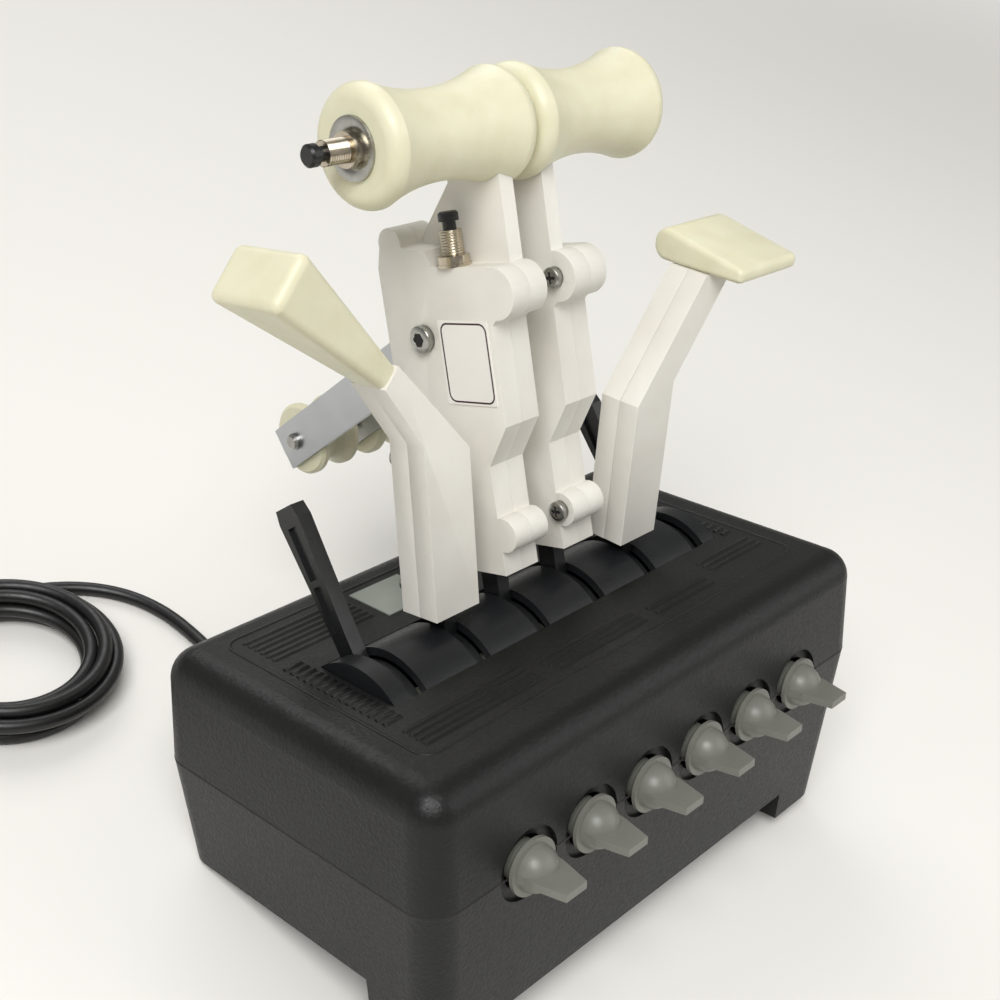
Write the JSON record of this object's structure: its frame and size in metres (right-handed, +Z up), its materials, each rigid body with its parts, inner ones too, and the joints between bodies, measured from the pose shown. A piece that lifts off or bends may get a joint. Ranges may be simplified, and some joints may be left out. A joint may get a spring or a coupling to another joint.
{
  "type": "throttle quadrant",
  "caption": "Desk-top flight simulator throttle quadrant with paired throttles and reversers, speed brake and flap levers, short stub levers, sprung paddles, slotted drum and coiled USB cable",
  "frame": {"origin": "centre of the footprint of the whole unit without its cable, on the standing surface", "axes": "X across the lever row, left to right for the user; Y away from the user; Z up"},
  "size_m": [0.3108, 0.2453, 0.2284],
  "materials": {
    "bar_aluminium": "brushed flat bar",
    "board": "fibreglass board",
    "cable_rubber": "smooth black PVC jacket",
    "case_plastic": "fine textured ABS, slightly sparkling",
    "dark_plastic": "smooth black ABS",
    "label_film": "printed film, thin dark border, bare",
    "nickel": "nickel plated brass",
    "paddle_grey": "satin grey ABS",
    "panel_badge": "bare badge plate",
    "printed_cream": "cream cast plastic, slightly mottled",
    "printed_white": "printed plate, lightly rounded edges",
    "sensor_body": "moulded sensor body",
    "sleeve": "nylon",
    "steel_sheet": "folded sheet",
    "zinc_steel": "zinc plated"
  },
  "bodies": {
    "case": {"badge_plate": "panel_badge", "cable": "cable_rubber", "cable_coil": "cable_rubber", "cable_gland": "cable_rubber", "case_screws": "zinc_steel", "drum_cover": "case_plastic", "end_sleeves": "sleeve", "lever_axle": "zinc_steel", "lower_case": "case_plastic", "main_board": "board", "mechanism_frame": "steel_sheet", "paddle_rod": "zinc_steel", "paddle_switches": "dark_plastic", "potentiometer_row": "sensor_body", "spacer_sleeves": "sleeve", "switch_board": "board", "upper_case": "case_plastic", "usb_grip": "cable_rubber", "usb_shell": "nickel"},
    "left_stub_lever": {"left_stub": "dark_plastic"},
    "right_stub_lever": {"right_stub": "dark_plastic"},
    "speed_brake_lever": {"speed_brake_core": "dark_plastic", "speed_brake_front_shell": "printed_white", "speed_brake_knob": "printed_cream", "speed_brake_rear_shell": "printed_white", "speed_brake_screws": "zinc_steel"},
    "flap_lever": {"flap_core": "dark_plastic", "flap_front_shell": "printed_white", "flap_knob": "printed_cream", "flap_rear_shell": "printed_white", "flap_screws": "zinc_steel"},
    "left_throttle": {"left_throttle_bushes": "nickel", "left_throttle_core": "dark_plastic", "left_throttle_inner_plate": "printed_white", "left_throttle_knob": "printed_cream", "left_throttle_outer_plate": "printed_white", "left_throttle_screws": "zinc_steel", "throttle_label": "label_film"},
    "left_reverser": {"left_reverser_bar": "bar_aluminium", "left_reverser_roller": "printed_cream", "left_reverser_screw": "zinc_steel"},
    "left_shelf_button": {"left_throttle_shelf_button": "dark_plastic"},
    "left_knob_button": {"left_throttle_knob_button": "dark_plastic"},
    "right_throttle": {"right_throttle_bushes": "nickel", "right_throttle_core": "dark_plastic", "right_throttle_inner_plate": "printed_white", "right_throttle_knob": "printed_cream", "right_throttle_outer_plate": "printed_white", "right_throttle_screws": "zinc_steel"},
    "right_reverser": {"right_reverser_bar": "bar_aluminium", "right_reverser_roller": "printed_cream", "right_reverser_screw": "zinc_steel"},
    "right_shelf_button": {"right_throttle_shelf_button": "dark_plastic"},
    "right_knob_button": {"right_throttle_knob_button": "dark_plastic"},
    "paddle_1_lever": {"paddle_1": "paddle_grey"},
    "paddle_2_lever": {"paddle_2": "paddle_grey"},
    "paddle_3_lever": {"paddle_3": "paddle_grey"},
    "paddle_4_lever": {"paddle_4": "paddle_grey"},
    "paddle_5_lever": {"paddle_5": "paddle_grey"},
    "paddle_6_lever": {"paddle_6": "paddle_grey"}
  },
  "joints": [
    {"name": "left_stub_lever_pivot", "type": "hinge", "parent": "case", "child": "left_stub_lever", "pos_m": [-0.0635, -0.02029, 0.0668], "axis": [1, 0, 0], "range_deg": [-0.5, 67.5]},
    {"name": "right_stub_lever_pivot", "type": "hinge", "parent": "case", "child": "right_stub_lever", "pos_m": [0.0635, -0.02029, 0.0668], "axis": [1, 0, 0], "range_deg": [-0.5, 67.5]},
    {"name": "speed_brake_lever_pivot", "type": "hinge", "parent": "case", "child": "speed_brake_lever", "pos_m": [-0.0381, -0.02029, 0.0668], "axis": [1, 0, 0], "range_deg": [-29.5, 38.5]},
    {"name": "flap_lever_pivot", "type": "hinge", "parent": "case", "child": "flap_lever", "pos_m": [0.0381, -0.02029, 0.0668], "axis": [1, 0, 0], "range_deg": [-39, 29]},
    {"name": "left_throttle_pivot", "type": "hinge", "parent": "case", "child": "left_throttle", "pos_m": [-0.0127, -0.02029, 0.0668], "axis": [1, 0, 0], "range_deg": [-23, 45]},
    {"name": "right_throttle_pivot", "type": "hinge", "parent": "case", "child": "right_throttle", "pos_m": [0.0127, -0.02029, 0.0668], "axis": [1, 0, 0], "range_deg": [-23, 45]},
    {"name": "left_reverser_pivot", "type": "hinge", "parent": "left_throttle", "child": "left_reverser", "pos_m": [-0.0127, 0.03088, 0.15246], "axis": [1, 0, 0], "range_deg": [0, 65]},
    {"name": "left_shelf_button_press", "type": "slide", "parent": "left_throttle", "child": "left_shelf_button", "axis": [0, 0.4468, 0.8946], "range_m": [-0.002, 0], "stiffness_N_per_m": 400, "springref_m": 0.001},
    {"name": "left_knob_button_press", "type": "slide", "parent": "left_throttle", "child": "left_knob_button", "axis": [-1, 0, 0], "range_m": [-0.002, 0], "stiffness_N_per_m": 400, "springref_m": 0.001},
    {"name": "right_reverser_pivot", "type": "hinge", "parent": "right_throttle", "child": "right_reverser", "pos_m": [0.0127, 0.03088, 0.15246], "axis": [1, 0, 0], "range_deg": [0, 65]},
    {"name": "right_shelf_button_press", "type": "slide", "parent": "right_throttle", "child": "right_shelf_button", "axis": [0, 0.4468, 0.8946], "range_m": [-0.002, 0], "stiffness_N_per_m": 400, "springref_m": 0.001},
    {"name": "right_knob_button_press", "type": "slide", "parent": "right_throttle", "child": "right_knob_button", "axis": [1, 0, 0], "range_m": [-0.002, 0], "stiffness_N_per_m": 400, "springref_m": 0.001},
    {"name": "paddle_1_lever_pivot", "type": "hinge", "parent": "case", "child": "paddle_1_lever", "pos_m": [-0.0635, -0.07068, 0.06099], "axis": [1, 0, 0], "range_deg": [-10, 10], "stiffness_Nm_per_rad": 0.2},
    {"name": "paddle_2_lever_pivot", "type": "hinge", "parent": "case", "child": "paddle_2_lever", "pos_m": [-0.0381, -0.07068, 0.06099], "axis": [1, 0, 0], "range_deg": [-10, 10], "stiffness_Nm_per_rad": 0.2},
    {"name": "paddle_3_lever_pivot", "type": "hinge", "parent": "case", "child": "paddle_3_lever", "pos_m": [-0.0127, -0.07068, 0.06099], "axis": [1, 0, 0], "range_deg": [-10, 10], "stiffness_Nm_per_rad": 0.2},
    {"name": "paddle_4_lever_pivot", "type": "hinge", "parent": "case", "child": "paddle_4_lever", "pos_m": [0.0127, -0.07068, 0.06099], "axis": [1, 0, 0], "range_deg": [-10, 10], "stiffness_Nm_per_rad": 0.2},
    {"name": "paddle_5_lever_pivot", "type": "hinge", "parent": "case", "child": "paddle_5_lever", "pos_m": [0.0381, -0.07068, 0.06099], "axis": [1, 0, 0], "range_deg": [-10, 10], "stiffness_Nm_per_rad": 0.2},
    {"name": "paddle_6_lever_pivot", "type": "hinge", "parent": "case", "child": "paddle_6_lever", "pos_m": [0.0635, -0.07068, 0.06099], "axis": [1, 0, 0], "range_deg": [-10, 10], "stiffness_Nm_per_rad": 0.2}
  ]
}
